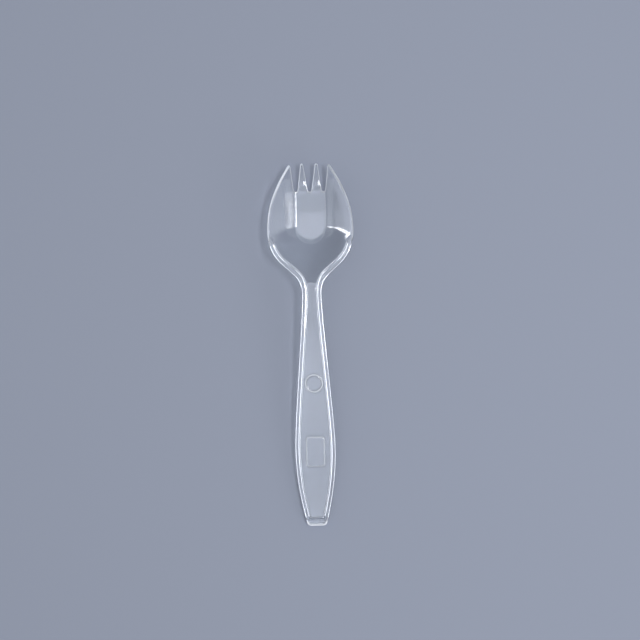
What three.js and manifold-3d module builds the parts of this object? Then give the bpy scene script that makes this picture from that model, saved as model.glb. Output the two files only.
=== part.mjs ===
// A disposable spork, moulded in one piece of clear plastic and lying face up.
// Millimetres, +Z up. The tines point to +Y, and the origin is under the middle of the outline's box.
// A distance "along" is measured from the end of the handle towards the tips of the tines.

import * as THREE from "three";
import { mergeVertices } from "three/addons/utils/BufferGeometryUtils.js";
import Module from "manifold-3d";

// Lengths along the spork
const handleLength = 100.6; // from the handle's end to the crease where the bowl begins
const bowlLength = 49.4; // from that crease to the tips of the inner tines
const tineLength = 11.2; // from the roots of the slots to the tips of the inner tines
const outerTineSetback = 0.8; // how much shorter the two outer tines are
const neckSetback = 4.2; // the narrowest place lies this far before the bowl's crease
const gripCentre = 32; // the widest place of the handle, from its end
const bowlWidest = 21.4; // the widest place of the bowl, from the crease
const floorStart = 19; // where the bowl's flat floor begins, from the crease

// Widths of the outline
const endWidth = 7.7; // handle's end, before its corners are rounded
const endCornerRadius = 1.4;
const gripWidth = 16.6;
const neckWidth = 7.85;
const bowlWidth = 34.9;
const tipWidth = 15.9; // across the outer edges of the outer tines, at their tips
const floorWidth = 10.9; // flat strip down the middle of the bowl

// Heights above the table
const neckLift = 6.6; // underside of the ribs at the neck
const bowlRimHeight = 9.8; // rim beside the widest place of the bowl
const tipRimHeight = 7; // rim at the tips of the outer tines
const tineRise = 4.5; // how far the inner tines climb above the bowl's floor

// Section of the handle: two side ribs and a web between them, open above and below
const wall = 1.1; // bowl
const webThickness = 0.9;
const webRecess = 1; // from the top of the ribs down to the web
const webDish = 0.12; // how far the web sinks at its middle
const ribWidth = 1.65; // the underside of a rib is one half round of this width
const shoulderRibWidth = 2.25; // where the outline leans most, round the back of the bowl
const ribDraft = 0.25; // slant of a rib's inner face
const endRibDepth = 2.6; // height of a rib at the handle's end
const neckRibDepth = 3; // height of a rib at the neck
const endWallLength = 2.7; // solid wall that closes the channel at the handle's end
const restLength = 5; // stretch of the handle's end that lies flat on the table
const edgeRound = 0.12; // broken upper edge all round the outline

// Rim of the bowl
const rimLand = 0.85; // level land along the front of the rim, at the widest place
const tipLand = 0.35; // the same land at the tips
const landRise = 0.15; // from the inner wall up to that land
const ribFade = 3; // length over which the side rib ends beside the bowl
const ribSink = 14; // length behind the neck over which the rib's underside meets the bowl
const rimDepth = 1.35; // height of the bowl's edge
const rimUnderRound = 0.6; // lower outer edge of the rim, at the widest place
const tipUnderRound = 0.35; // the same edge at the tips
const creaseBow = 0.75; // how far the crease at the neck bows towards the bowl
const underBlend = 6; // length over which the web's underside turns into the bowl's
const sideShoulder = 1.1; // gentle border of the floor, before a side wall begins
const backShoulder = 2.6; // the same border at the back of the floor
const sideShoulderRise = 0.24; // its steepness, as a share of the wall's
const backShoulderRise = 0.36;
const sideBend = 0.2; // rounding between border and wall
const backBend = 0.4;

// Tines and slots, all measured across from the middle line
const tineCentre = 3; // middle of an inner tine
const tineTipRadius = 0.55;
const outerTipRadius = 0.45;
const middleSlotRadius = 0.83;
const sideSlotCentre = 5.8;
const sideSlotRadius = 0.85;
const tineRidge = 0.35; // low ridge down each inner tine
const ridgeRunIn = 2.5; // length over which the ridge begins
const tipWall = 0.8; // thickness at the tips

// Marks left by the mould
const ringCentre = 59.3;
const ringRadius = 3.8;
const ringLine = 0.55;
const padCentre = 30.8;
const padWidth = 8;
const padLength = 12.8;
const padCorner = 1.4;
const markHeight = 0.22;
const markSink = 0.4; // how deep a mark is rooted in the web
const nibOffset = -1.9; // broken-off gate, beside the middle of the handle's end
const nibRadius = 0.5;
const nibReach = 0.35;

// Places that follow from those sizes
const fullLength = handleLength + bowlLength;
const neckAt = handleLength - neckSetback;
const widestAt = handleLength + bowlWidest;
const floorBack = handleLength + floorStart;
const floorHalf = floorWidth / 2;
const floorArcCentre = floorBack + floorHalf;
const slotRoot = fullLength - tineLength;
const climbStart = floorArcCentre + 2.6;
const outerTip = fullLength - outerTineSetback;
const middle = (fullLength - nibReach) / 2;
const bowlBegins = handleLength - creaseBow;

const wasm = await Module();
wasm.setup();

function blend(from, to, share) {
  return from + (to - from) * share;
}

function ramp(value, from, to) {
  return THREE.MathUtils.smoothstep(value, from, to);
}

// Height of a flat curve above its own base line, looked up by the distance along it.
function lookUp(points) {
  const curve = new THREE.CubicBezierCurve(...points.map(([x, y]) => new THREE.Vector2(x, y)));
  return (along) => {
    let low = 0;
    let high = 1;
    for (let step = 0; step < 32; step += 1) {
      const half = (low + high) / 2;
      if (curve.getPoint(half).x < along) low = half;
      else high = half;
    }
    return curve.getPoint(low).y;
  };
}

// 0 below 0 and straight above it, with the corner rounded off
function fillet(value, bend) {
  return value > -4 * bend ? (value + Math.hypot(value, bend)) / 2 : 0;
}

// Outline, seen from above: half its width at a distance along
const tipSlope = 0.63;
const endSlope = 0.26;
const gripOutline = lookUp([
  [0, endWidth / 2],
  [gripCentre * 0.36, endWidth / 2 + gripCentre * 0.36 * endSlope],
  [gripCentre * 0.66, gripWidth / 2],
  [gripCentre, gripWidth / 2],
]);
const shankOutline = lookUp([
  [gripCentre, gripWidth / 2],
  [blend(gripCentre, neckAt, 0.21), gripWidth / 2],
  [blend(gripCentre, neckAt, 0.81), neckWidth / 2],
  [neckAt, neckWidth / 2],
]);
const backOutline = lookUp([
  [neckAt, neckWidth / 2],
  [blend(neckAt, widestAt, 0.42), neckWidth / 2],
  [blend(neckAt, widestAt, 0.36), bowlWidth / 2],
  [widestAt, bowlWidth / 2],
]);
const frontOutline = lookUp([
  [widestAt, bowlWidth / 2],
  [blend(widestAt, fullLength, 0.31), bowlWidth / 2],
  [blend(widestAt, fullLength, 0.58), tipWidth / 2 + (fullLength - widestAt) * 0.42 * tipSlope],
  [fullLength, tipWidth / 2],
]);

function outlineAt(along) {
  if (along >= fullLength) return tipWidth / 2 - (along - fullLength) * tipSlope;
  if (along >= widestAt) return frontOutline(along);
  if (along >= neckAt) return backOutline(along);
  if (along >= gripCentre) return shankOutline(along);
  return gripOutline(along);
}

function halfWidthAt(along) {
  const corner = Math.max(0, endCornerRadius - along);
  return outlineAt(along) - endCornerRadius + Math.sqrt(endCornerRadius ** 2 - corner ** 2);
}

// How much the outline leans: the change of its half width for each millimetre along
function leanAt(along) {
  const reach = 0.5;
  const low = Math.max(along - reach, 0);
  const high = Math.min(along + reach, fullLength);
  return Math.abs(outlineAt(high) - outlineAt(low)) / (high - low);
}

// Side view: the handle's end lies flat, the handle climbs to the neck, and the rim dips to the tips
const liftLine = lookUp([
  [restLength, 0],
  [blend(restLength, neckAt, 0.3), neckLift * 0.09],
  [blend(restLength, neckAt, 0.78), neckLift * 0.82],
  [neckAt, neckLift],
]);
const rimStart = neckLift + neckRibDepth;
const rimCrest = (bowlRimHeight - 0.125 * (rimStart + tipRimHeight)) / 0.75;
const rimLine = lookUp([
  [neckAt, rimStart],
  [blend(neckAt, fullLength, 0.22), rimCrest],
  [blend(neckAt, fullLength, 0.73), rimCrest],
  [fullLength, tipRimHeight],
]);

function liftAt(along) {
  return along <= restLength ? 0 : liftLine(along);
}

function rimTopAt(along) {
  if (along >= fullLength) return tipRimHeight;
  if (along >= neckAt) return rimLine(along);
  return liftAt(along) + blend(endRibDepth, neckRibDepth, along / neckAt);
}

// The side ribs run on round the back of the bowl and end beside its widest place.
function ribShareAt(along) {
  return 1 - ramp(along, widestAt - 2 - ribFade, widestAt - 2);
}

// Share of the way from the widest place of the bowl to the tips
function frontShareAt(along) {
  return THREE.MathUtils.clamp((along - widestAt) / (fullLength - widestAt), 0, 1);
}

// Width of a rib, measured square to the outline
function ribWidthAt(along) {
  const lean = along > neckAt ? Math.min(1, leanAt(along)) : 0;
  return blend(ribWidth, shoulderRibWidth, lean);
}

// Distance of the rib's inner foot from the middle line
function footAt(along) {
  const land = blend(rimLand, tipLand, frontShareAt(along));
  const width = blend(land, ribWidthAt(along), ribShareAt(along));
  return halfWidthAt(along) - width * Math.hypot(1, leanAt(along)) - ribDraft;
}

// Radius of the lower outer edge: the whole underside of a rib is one half round
function underRoundAt(along) {
  const rim = blend(rimUnderRound, tipUnderRound, frontShareAt(along));
  return blend(rim, ribWidthAt(along) / 2, ribShareAt(along));
}

function stepAt(along) {
  return blend(landRise, webRecess, ribShareAt(along));
}

function floorAt(along) {
  const run = Math.max(0, along - climbStart);
  const reach = fullLength - climbStart;
  const radius = (reach ** 2 + tineRise ** 2) / (2 * tineRise);
  return wallAt(along) + radius - Math.sqrt(radius ** 2 - run ** 2);
}

function wallAt(along) {
  return blend(wall, tipWall, THREE.MathUtils.clamp((along - slotRoot) / tineLength, 0, 1));
}

// Upper face of the bowl: a flat floor with a half-round back, and walls that climb from it to the rib
// and to the crease at the neck.
function bowlAt(across, along) {
  const behind = Math.max(0, floorArcCentre - along);
  const fromCentre = Math.hypot(across, behind);
  const fromFloor = Math.max(0, fromCentre - floorHalf);
  const foot = footAt(along);
  const fromRib = Math.max(0, foot - across);
  const fromNeck = Math.max(0, along - handleLength + creaseBow * (across / foot) ** 2);
  const spread = Math.cbrt(fromRib ** 3 + fromNeck ** 3);
  const fromRim = spread > 0 ? (fromRib * fromNeck) / spread : 0;
  const turned = fromCentre > 0 ? (behind / fromCentre) ** 2 : 0;
  const width = blend(sideShoulder, backShoulder, turned);
  const rise = blend(sideShoulderRise, backShoulderRise, turned);
  const bend = blend(sideBend, backBend, turned);
  const onBorder = fillet(fromFloor - sideBend / 2, sideBend / 2);
  const climb = blend(fillet(fromFloor - width, bend), onBorder, rise);
  const floor = floorAt(along);
  const share = fromFloor > 0 ? climb / (climb + fromRim) : 0;
  return blend(floor, rimTopAt(along) - stepAt(along), share);
}

// Upper face of the web, which meets the end wall at one end and the bowl at the other
function webAt(across, along) {
  const recess = webRecess * THREE.MathUtils.clamp((along - endWallLength) / ribDraft, 0, 1);
  const open = ramp(along, endWallLength, endWallLength + 8) * (1 - ramp(along, neckAt - 20, neckAt));
  const dish = webDish * open * (1 - (across / footAt(along)) ** 2);
  return rimTopAt(along) - recess - dish;
}

// Roof-shaped ridge down the middle of each inner tine
function ridgeAt(across, along) {
  const half = blend(tineCentre - middleSlotRadius, tineTipRadius, (along - slotRoot) / tineLength);
  const roof = Math.max(0, 1 - Math.abs(across - tineCentre) / half);
  return tineRidge * roof * ramp(along, slotRoot, slotRoot + ridgeRunIn);
}

function inBowl(along) {
  return along > bowlBegins;
}

function upperFaceAt(across, along) {
  if (!inBowl(along)) return webAt(across, along);
  return bowlAt(across, along) + ridgeAt(across, along);
}

// Underside of the web or of the bowl's wall, one thickness below the upper face and square to its slope
function underBedAt(across, along) {
  if (!inBowl(along)) {
    const open = THREE.MathUtils.clamp((along - endWallLength) / ribDraft, 0, 1);
    return blend(liftAt(along), rimTopAt(along) - webRecess - webThickness, open);
  }
  const reach = 0.2;
  const here = bowlAt(across, along);
  const climbAlong = (here - bowlAt(across, along + reach)) / reach;
  const climbAcross = (here - bowlAt(Math.max(0, across - reach), along)) / reach;
  const settled = ramp(along, bowlBegins, bowlBegins + underBlend);
  const square = Math.sqrt(1 + (climbAlong ** 2 + climbAcross ** 2) * settled);
  return here - blend(webThickness, wallAt(along), settled) * square;
}

function rimBottomAt(along) {
  if (along <= neckAt) return liftAt(along);
  const depth = blend(neckRibDepth, rimDepth, ramp(along, neckAt, neckAt + ribSink));
  return Math.min(rimTopAt(along) - depth, underBedAt(footAt(along), along));
}

// Inner half of the rib's round underside, or the bed beside it where that lies lower
function lowerFaceAt(across, along) {
  const bed = underBedAt(Math.min(across, footAt(along)), along);
  if (along <= endWallLength) return rimBottomAt(along);
  const radius = underRoundAt(along);
  const inset = (halfWidthAt(along) - across) / Math.hypot(1, leanAt(along));
  const beyond = THREE.MathUtils.clamp(inset / radius - 1, 0, 1);
  if (beyond >= 1) return bed;
  return Math.min(bed, rimBottomAt(along) + radius * (1 - Math.sqrt(1 - beyond ** 2)));
}

// Right half of one cross-section, from the middle line out along the top and back along the bottom.
// Its lines follow the edge of the floor, its border, the foot of the wall and the faces of the rib.
function halfSection(along) {
  const foot = footAt(along);
  const half = halfWidthAt(along);
  const behind = Math.max(0, floorArcCentre - along);
  const roundBack = Math.sqrt(Math.max(0, floorHalf ** 2 - behind ** 2));
  const floorEdge = Math.min(Math.max(roundBack, floorHalf * 0.22), foot * 0.6);
  const border = Math.min(sideShoulder, (foot - floorEdge) * 0.3);
  const ridge = tineCentre / floorHalf;
  const floorShares = [0, ridge / 2, ridge, (ridge + 1) / 2, 1];
  const wallShares = [0, 0.08, 0.3, 0.62, 1];
  const onFloor = floorShares.map((share) => share * floorEdge);
  const top = rimTopAt(along);
  const onUpperWall = wallShares.map((share) => blend(floorEdge + border, foot, share));
  const upper = [...onFloor, ...onUpperWall].map((across) => [across, upperFaceAt(across, along)]);
  upper.push([foot + ribDraft, top], [half - edgeRound, top], [half, top - edgeRound]);
  const radius = underRoundAt(along);
  const stretch = Math.hypot(1, leanAt(along));
  const bottom = rimBottomAt(along);
  const ribInside = Math.max(floorEdge, half - 2 * radius * stretch);
  const bedShares = [0, 0.12, 0.5, 1];
  const lower = [onFloor[0], onFloor[2], ...bedShares.map((share) => blend(floorEdge, ribInside, share))];
  const under = lower.map((across) => [across, lowerFaceAt(across, along)]);
  for (const turn of [60, 30, 0].map(THREE.MathUtils.degToRad)) {
    const across = half - radius * (1 + Math.sin(turn)) * stretch;
    under.push([across, lowerFaceAt(across, along)]);
  }
  for (const turn of [30, 60, 90].map(THREE.MathUtils.degToRad)) {
    const inset = radius * (1 - Math.sin(turn)) * stretch;
    under.push([half - inset, bottom + radius * (1 - Math.cos(turn))]);
  }
  return { upper, under };
}

// Whole cross-section as a ring of points, anticlockwise when it is seen from the handle's end
function sectionRing(along) {
  const { upper, under } = halfSection(along);
  const mirrored = (points) => points.slice(1).map(([across, height]) => [-across, height]);
  const ring = [...under, ...upper.toReversed(), ...mirrored(upper), ...mirrored(under).toReversed()];
  return ring.map(([across, height]) => new THREE.Vector3(across, along - middle, height));
}

// Distances of the cross-sections, closer together where the form turns quickly
function stations() {
  const even = (from, to, count) => {
    return Array.from({ length: count }, (_, step) => blend(from, to, step / count));
  };
  const corner = [0, 15, 35, 60].map((turn) => {
    return endCornerRadius * (1 - Math.cos(THREE.MathUtils.degToRad(90 - turn)));
  });
  return [
    ...corner.map((depth) => endCornerRadius - depth).filter((place) => place < endCornerRadius * 0.9),
    ...even(endCornerRadius, endWallLength, 1),
    endWallLength,
    ...even(endWallLength + ribDraft, restLength, 1),
    ...even(restLength, neckAt, 24),
    ...even(neckAt, bowlBegins, 3),
    ...even(bowlBegins, handleLength + 1, 2),
    ...even(handleLength + 1, floorBack - 3, 10),
    ...even(floorBack - 3, floorBack + 2, 5),
    ...even(floorBack + 2, floorArcCentre, 3),
    ...even(floorArcCentre, climbStart, 1),
    ...even(climbStart, slotRoot, 5),
    ...even(slotRoot, fullLength, 6),
    fullLength,
    fullLength + 1,
  ];
}

// Closed skin through a row of rings that all have the same number of points
function loft(rings) {
  const count = rings[0].length;
  const corners = rings.flat().flatMap((point) => point.toArray());
  const faces = [];
  for (let row = 0; row + 1 < rings.length; row += 1) {
    for (let column = 0; column < count; column += 1) {
      const here = row * count + column;
      const next = row * count + ((column + 1) % count);
      faces.push(here, next + count, next, here, here + count, next + count);
    }
  }
  const flat = (ring) => ring.map((point) => new THREE.Vector2(point.x, point.z));
  const last = (rings.length - 1) * count;
  for (const [a, b, c] of THREE.ShapeUtils.triangulateShape(flat(rings[0]), [])) {
    faces.push(a, b, c);
  }
  for (const [a, b, c] of THREE.ShapeUtils.triangulateShape(flat(rings.at(-1)), [])) {
    faces.push(last + a, last + c, last + b);
  }
  const geometry = new THREE.BufferGeometry();
  geometry.setAttribute("position", new THREE.Float32BufferAttribute(corners, 3));
  geometry.setIndex(faces);
  return geometry;
}

// Everything in front of the tines, seen from above, cut straight down: three slots and four tips
function tineCutter() {
  const lean = Math.atan(tipSlope);
  const over = (x, y, radius, from = Math.PI, to = 0) => {
    return { x, y: y - radius, radius, from, to, clockwise: true };
  };
  const round = (x, radius) => {
    return { x, y: slotRoot + radius, radius, from: Math.PI, to: 2 * Math.PI, clockwise: false };
  };
  const start = outerTip - outerTipRadius * (1 - Math.sin(lean));
  const outerX = halfWidthAt(start) - outerTipRadius * Math.cos(lean);
  const bends = [
    over(-outerX, outerTip, outerTipRadius, Math.PI - lean),
    round(-sideSlotCentre, sideSlotRadius),
    over(-tineCentre, fullLength, tineTipRadius),
    round(0, middleSlotRadius),
    over(tineCentre, fullLength, tineTipRadius),
    round(sideSlotCentre, sideSlotRadius),
    over(outerX, outerTip, outerTipRadius, Math.PI, lean),
  ];
  const clear = 5;
  const shape = new THREE.Shape();
  shape.moveTo(-outerX - clear, start);
  for (const { x, y, radius, from, to, clockwise } of bends) {
    shape.absarc(x, y, radius, from, to, clockwise);
  }
  shape.lineTo(outerX + clear, start);
  shape.lineTo(outerX + clear, fullLength + clear);
  shape.lineTo(-outerX - clear, fullLength + clear);
  const depth = bowlRimHeight + 2 * clear;
  const geometry = new THREE.ExtrudeGeometry(shape, { depth, bevelEnabled: false, curveSegments: 4 });
  return geometry.translate(0, -middle, -clear);
}

// Sets a mark on the web, tilted with it and rooted in it.
function seatMark(geometry, along) {
  const reach = 2;
  const climb = webAt(0, along + reach) - webAt(0, along - reach);
  geometry.rotateX(Math.atan2(climb, 2 * reach));
  return geometry.translate(0, along - middle, webAt(0, along) - markSink);
}

// Plain raised ring, as a round pin leaves in a mould
function ringMark() {
  const shape = new THREE.Shape().absarc(0, 0, ringRadius, 0, 2 * Math.PI);
  shape.holes.push(new THREE.Path().absarc(0, 0, ringRadius - ringLine, 0, 2 * Math.PI));
  const depth = markSink + markHeight;
  const geometry = new THREE.ExtrudeGeometry(shape, { depth, bevelEnabled: false, curveSegments: 16 });
  return seatMark(geometry, ringCentre);
}

// Plain raised pad with rounded corners and a sloping edge
function padMark() {
  const x = padWidth / 2 - padCorner;
  const y = padLength / 2 - padCorner;
  const quarter = Math.PI / 2;
  const shape = new THREE.Shape();
  const corners = [
    [x, y],
    [-x, y],
    [-x, -y],
    [x, -y],
  ];
  corners.forEach(([cx, cy], turn) => {
    shape.absarc(cx, cy, padCorner, turn * quarter, (turn + 1) * quarter);
  });
  const geometry = new THREE.ExtrudeGeometry(shape, {
    depth: markSink,
    bevelThickness: markHeight,
    bevelSize: markHeight,
    bevelOffset: -markHeight,
    bevelSegments: 1,
    curveSegments: 3,
  });
  return seatMark(geometry, padCentre);
}

// Stub of the gate through which the plastic flowed in
function gateNib() {
  const root = 1;
  const geometry = new THREE.CylinderGeometry(nibRadius, nibRadius * 0.8, nibReach + root, 10);
  const height = endRibDepth / 2;
  return geometry.translate(nibOffset, (root - nibReach) / 2 - middle, height);
}

function toSolid(geometry) {
  const bare = new THREE.BufferGeometry();
  bare.setAttribute("position", geometry.getAttribute("position"));
  bare.setIndex(geometry.index);
  const merged = mergeVertices(bare, 1e-4);
  return new wasm.Manifold(
    new wasm.Mesh({
      numProp: 3,
      vertProperties: new Float32Array(merged.getAttribute("position").array),
      triVerts: new Uint32Array(merged.index.array),
    }),
  );
}

function toGeometry(solid) {
  const mesh = solid.getMesh();
  const geometry = new THREE.BufferGeometry();
  geometry.setAttribute("position", new THREE.BufferAttribute(mesh.vertProperties, 3));
  geometry.setIndex(new THREE.BufferAttribute(mesh.triVerts, 1));
  geometry.computeVertexNormals();
  return geometry;
}

const blank = toSolid(loft(stations().map(sectionRing)));
const cut = blank.subtract(toSolid(tineCutter()));
const marked = [ringMark(), padMark(), gateNib()].reduce((body, mark) => body.add(toSolid(mark)), cut);

const clearPlastic = new THREE.MeshStandardMaterial({
  color: 0xdfe6ec,
  roughness: 0.12,
  metalness: 0,
  transparent: true,
  opacity: 0.4,
});

const spork = new THREE.Mesh(toGeometry(marked), clearPlastic);
spork.name = "spork";

const group = new THREE.Group();
group.add(spork);

export default group;
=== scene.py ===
"""Looks of a clear plastic spork that lies face up on a plain table.

The fine skin is made in millimetres by the same rules as the solid that it replaces, then set in its
place in metres. A distance "along" is measured from the end of the handle, and "across" from the middle
line. The camera and the lamps are placed in metres, with +Y towards the tips of the tines.
"""

import math

import bpy
import numpy as np
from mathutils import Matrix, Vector, kdtree
from mathutils.geometry import delaunay_2d_cdt


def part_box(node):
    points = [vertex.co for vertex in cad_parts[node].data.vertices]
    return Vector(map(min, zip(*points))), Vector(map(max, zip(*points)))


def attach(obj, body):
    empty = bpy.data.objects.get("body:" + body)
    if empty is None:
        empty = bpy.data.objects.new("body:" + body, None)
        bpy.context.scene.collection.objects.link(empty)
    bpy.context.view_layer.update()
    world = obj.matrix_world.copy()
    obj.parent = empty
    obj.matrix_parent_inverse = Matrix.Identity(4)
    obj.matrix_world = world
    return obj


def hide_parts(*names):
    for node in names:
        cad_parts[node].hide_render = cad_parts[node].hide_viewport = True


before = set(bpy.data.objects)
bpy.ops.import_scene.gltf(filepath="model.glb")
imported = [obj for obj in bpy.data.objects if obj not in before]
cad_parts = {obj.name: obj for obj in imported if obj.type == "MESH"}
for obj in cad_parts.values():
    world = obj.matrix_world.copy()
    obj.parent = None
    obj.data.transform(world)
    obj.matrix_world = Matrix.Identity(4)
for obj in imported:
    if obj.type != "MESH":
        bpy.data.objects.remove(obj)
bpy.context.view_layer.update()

MM = 0.001
TINY = 1e-9  # shorter than any length that matters, and keeps a division clear of zero

# Lengths along the spork
HANDLE_LENGTH = 100.6  # from the handle's end to the crease where the bowl begins
BOWL_LENGTH = 49.4  # from that crease to the tips of the inner tines
TINE_LENGTH = 11.2  # from the roots of the slots to the tips of the inner tines
OUTER_TINE_SETBACK = 0.8  # how much shorter the two outer tines are
NECK_SETBACK = 4.2  # the narrowest place lies this far before the crease
GRIP_CENTRE = 32.0  # the widest place of the handle, from its end
BOWL_WIDEST = 21.4  # the widest place of the bowl, from the crease
FLOOR_START = 19.0  # where the bowl's flat floor begins, from the crease
FLAT_RUN = 2.6  # the floor stays level for this length past the centre of its round back

# Widths of the outline
END_WIDTH = 7.7  # handle's end, before its corners are rounded
END_CORNER_RADIUS = 1.4
GRIP_WIDTH = 16.6
NECK_WIDTH = 7.85
BOWL_WIDTH = 34.9
TIP_WIDTH = 15.9  # across the outer edges of the outer tines, at their tips
FLOOR_WIDTH = 10.9  # flat strip down the middle of the bowl
TIP_SLOPE = 0.63  # how fast each side narrows at the tips
END_SLOPE = 0.26  # how fast each side widens from the handle's end

# Heights above the table
NECK_LIFT = 6.6  # underside of the ribs at the neck
BOWL_RIM_HEIGHT = 9.8  # rim beside the widest place of the bowl
TIP_RIM_HEIGHT = 7.0  # rim at the tips of the outer tines
TINE_RISE = 4.5  # how far the inner tines climb above the bowl's floor
TABLE_GAP = 0.02  # keeps the table's face apart from the underside

# Section of the handle
WALL = 1.1  # thickness of the bowl
WEB_THICKNESS = 0.9
WEB_RECESS = 1.0  # from the top of the ribs down to the web
WEB_DISH = 0.12  # how far the web sinks at its middle
DISH_RUN_IN = 8.0  # length over which the dish begins, from the end wall
DISH_RUN_OUT = 20.0  # length over which it ends, up to the neck
RIB_WIDTH = 1.65  # the underside of a rib is one half round of this width
SHOULDER_RIB_WIDTH = 2.25  # where the outline leans most, round the back of the bowl
RIB_DRAFT = 0.25  # slant of a rib's inner face
FOOT_BEND = 0.5  # rounding at the foot of a slanted face, in shares of its draft
TOP_BEND = 0.1
END_RIB_DEPTH = 2.6  # height of a rib at the handle's end
NECK_RIB_DEPTH = 3.0  # height of a rib from the neck on
END_WALL_LENGTH = 2.7  # solid wall that closes the channel at the handle's end
REST_LENGTH = 5.0  # stretch of the handle's end that lies flat on the table
EDGE_ROUND = 0.12  # rounded upper edge, all round the outline
RIM_UNDER_ROUND = 0.6  # lower outer edge of the rim, at the widest place
TIP_UNDER_ROUND = 0.7  # the same edge at the tips

# Rim of the bowl
RIM_LAND = 0.85  # level land along the front of the rim, at the widest place
TIP_LAND = 0.35  # the same land at the tips
LAND_RISE = 0.15  # from the inner wall up to that land
RIB_SETBACK = 2.0  # a rib has ended this far behind the widest place
RIB_FADE = 3.0  # length over which a rib ends
DEEP_SETBACK = 6.5  # a rib keeps its depth up to this far behind the widest place
SHALLOW_SETBACK = 1.5  # and has the rim's depth from here on
RIM_DEPTH = 1.35  # height of the bowl's edge
CREASE_BOW = 0.75  # how far the crease at the neck bows towards the bowl
UNDER_BLEND = 6.0  # length over which the web's underside turns into the bowl's
SIDE_SHOULDER = 1.1  # gentle border of the floor, before a side wall begins
BACK_SHOULDER = 2.6  # the same border at the back of the floor
SIDE_SHOULDER_RISE = 0.24  # its steepness, as a share of the wall's
BACK_SHOULDER_RISE = 0.36
SIDE_BEND = 0.2  # rounding between border and wall
BACK_BEND = 0.4

# Tines and slots
TINE_CENTRE = 3.0  # middle of an inner tine
TINE_TIP_RADIUS = 0.55
OUTER_TIP_RADIUS = 0.45
MIDDLE_SLOT_RADIUS = 0.83
SIDE_SLOT_CENTRE = 5.8
SIDE_SLOT_RADIUS = 0.85
TINE_RIDGE = 0.35  # low ridge down each inner tine
RIDGE_RUN_IN = 2.5  # length over which the ridge begins
RIDGE_CROWN = 0.25  # rounding of its crown
TIP_WALL = 0.8  # thickness at the tips

# Marks left by the mould
RING_CENTRE = 59.3
RING_RADIUS = 3.8
RING_LINE = 0.55  # breadth of the ring's raised line
RING_SLANT = 0.12  # breadth of that line's slanted sides
PAD_CENTRE = 30.8
PAD_WIDTH = 8.0
PAD_LENGTH = 12.8
PAD_CORNER = 1.4
MARK_HEIGHT = 0.22
NIB_OFFSET = -1.9  # broken-off gate, beside the middle of the handle's end
NIB_RADIUS = 0.5
NIB_FLAT_SHARE = 0.55  # share of its radius that is flat
NIB_REACH = 0.35

# Painted highlights: the share of an edge or a mark that is painted with white scattering instead of
# letting light through, to stand in for the glints of its roundings and slants
EDGE_PAINTED_HIGHLIGHT = 0.85
PAINTED_HIGHLIGHT_TURN = 1.0  # an edge carries the painted highlight over this turn of its rounding, in radians from the side
PAINTED_HIGHLIGHT_FADE = 0.2  # and fades over this one
RING_PAINTED_HIGHLIGHT = 0.7
PAD_PAINTED_HIGHLIGHT = 0.45
PAD_BORDER = 0.3  # breadth of the pad's border that carries the painted highlight

# Places that follow from those sizes
FULL_LENGTH = HANDLE_LENGTH + BOWL_LENGTH
NECK_AT = HANDLE_LENGTH - NECK_SETBACK
WIDEST_AT = HANDLE_LENGTH + BOWL_WIDEST
FLOOR_HALF = FLOOR_WIDTH / 2
FLOOR_ARC_CENTRE = HANDLE_LENGTH + FLOOR_START + FLOOR_HALF
SLOT_ROOT = FULL_LENGTH - TINE_LENGTH
CLIMB_START = FLOOR_ARC_CENTRE + FLAT_RUN
OUTER_TIP = FULL_LENGTH - OUTER_TINE_SETBACK
BOWL_BEGINS = HANDLE_LENGTH - CREASE_BOW
RIB_END = WIDEST_AT - RIB_SETBACK

# Colours: the shades are what the plastic lets through to the table
CLEAR = (0.97, 0.98, 0.985, 1)
# white of the highlights painted on edges and marks
PAINTED_HIGHLIGHT_WHITE = (0.88, 0.92, 1.0, 1)
FLAT_SHADE = (0.52, 0.53, 0.53, 1)
STEEP_SHADE = (0.38, 0.39, 0.39, 1)
RIM_SHADE = (0.15, 0.16, 0.17, 1)
TABLE_COLOUR = (0.283, 0.314, 0.397, 1)
PLAIN_LIGHT = (1, 1, 1, 1)
MIRRORED_LIGHT = (0.95, 1.0, 1.12, 1)

# Brightness of the room: what gloss mirrors of its ceiling and sides, and what lights the table
NEAR_CEILING = 2.15
FAR_CEILING = 2.5
LEFT_SIDE = 1.4
RIGHT_SIDE = 1.25
BEAM = 0.25  # share that a beam across the ceiling takes away
DARK_SIDE = 0.95  # share that the dark side beyond the tines takes away
NEAR_SIDE = 0.35  # share that is left beyond the handle's end
ROOM_LIGHT = 0.655

# Soft edges of the room's parts, each from one share of a direction to another
CEILING_EDGE = (0.8, 0.93)
CEILING_TURN = (-0.05, 0.13)
DARK_SIDE_EDGE = (0.17, 0.29)
NEAR_SIDE_EDGE = (-0.4, -0.26)
BEAM_NEAR_EDGE = (-0.24, -0.16)
BEAM_FAR_EDGE = (-0.02, 0.1)

# Fineness of the skin
RIM_STEP = 0.45  # between points along the outline
SLANT_ALLOWANCE = 1.1  # more points along the sides, because they lean
GRID_STEP = 0.6  # between corners of the even grid
GRID_ROW_SHARE = 0.866  # rows of even triangles are this share of a step apart
RIM_CLEAR_SHARE = 0.55  # the grid keeps this share of a step clear of the rim
LINE_CLEAR_SHARE = 0.5  # and this share clear of a line
LINE_STEP = 0.5  # between points along a line
LINE_CLEARANCE = 0.13  # a line stops this near the rim
MERGE_REACH = 1e-5  # points closer than this become one
ROOT_MARGIN = 0.3  # a line keeps this far from the roots of the slots
TIP_MARGIN = 0.4  # and this far from the tips
MARK_MARGIN = 0.02  # a mark has a line this far outside its edge
MARK_EDGE = 0.01  # a corner this far outside the pad still counts as on it
UPPER_TURNS = (0.0, 22.5, 45.0, 67.5, 90.0)  # degrees round the upper edge
UNDER_TURNS = (0.0, 10.0, 20.0, 30.0, 40.0, 50.0, 60.0, 70.0, 80.0, 90.0)  # round the lower edge
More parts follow.
